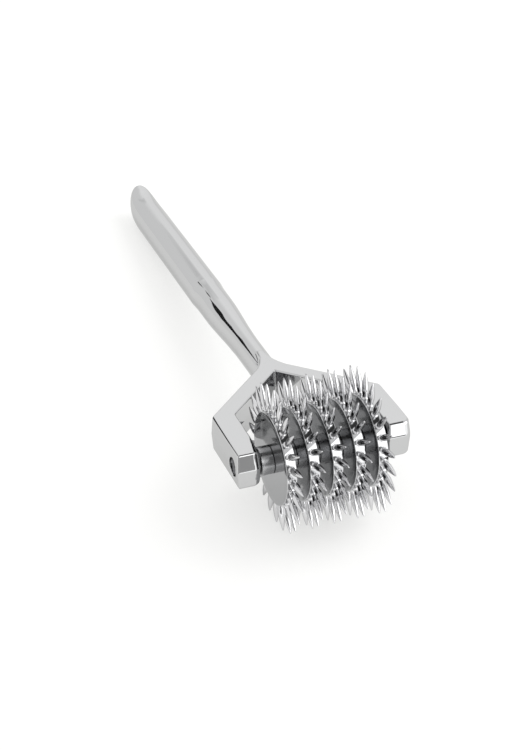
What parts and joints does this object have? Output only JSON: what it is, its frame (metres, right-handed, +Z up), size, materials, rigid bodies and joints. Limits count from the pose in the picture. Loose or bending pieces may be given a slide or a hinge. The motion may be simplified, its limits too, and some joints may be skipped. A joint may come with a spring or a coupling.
{
  "type": "spiked pinwheel roller",
  "caption": "Hand tool with a round handle and a forked head that carries a row of pinned wheels, each turning freely on one axle.",
  "frame": {"origin": "on the surface the tool rests on, under the middle of its bounding box", "axes": "+Z up, +Y from the wheels towards the handle's end, +X along the axle"},
  "size_m": [0.0456, 0.1764, 0.0369],
  "materials": {
    "casting": "polished",
    "wheel": "polished",
    "hardware": "turned",
    "screw": "satin"
  },
  "bodies": {
    "frame": {"handle_fork": "casting", "axle": "hardware", "axle_screw_right": "screw", "axle_screw_left": "screw", "spacer_1": "hardware", "spacer_2": "hardware", "spacer_3": "hardware", "spacer_4": "hardware", "spacer_5": "hardware", "spacer_6": "hardware"},
    "wheel_1": {"wheel_1": "wheel"},
    "wheel_2": {"wheel_2": "wheel"},
    "wheel_3": {"wheel_3": "wheel"},
    "wheel_4": {"wheel_4": "wheel"},
    "wheel_5": {"wheel_5": "wheel"}
  },
  "joints": [
    {"name": "wheel_1_spin", "type": "hinge", "parent": "frame", "child": "wheel_1", "pos_m": [-0.01173, -0.06976, 0.01847], "axis": [1, 0, 0], "continuous": true},
    {"name": "wheel_2_spin", "type": "hinge", "parent": "frame", "child": "wheel_2", "pos_m": [-0.00587, -0.06976, 0.01847], "axis": [1, 0, 0], "continuous": true},
    {"name": "wheel_3_spin", "type": "hinge", "parent": "frame", "child": "wheel_3", "pos_m": [0, -0.06976, 0.01847], "axis": [1, 0, 0], "continuous": true},
    {"name": "wheel_4_spin", "type": "hinge", "parent": "frame", "child": "wheel_4", "pos_m": [0.00587, -0.06976, 0.01847], "axis": [1, 0, 0], "continuous": true},
    {"name": "wheel_5_spin", "type": "hinge", "parent": "frame", "child": "wheel_5", "pos_m": [0.01173, -0.06976, 0.01847], "axis": [1, 0, 0], "continuous": true}
  ]
}
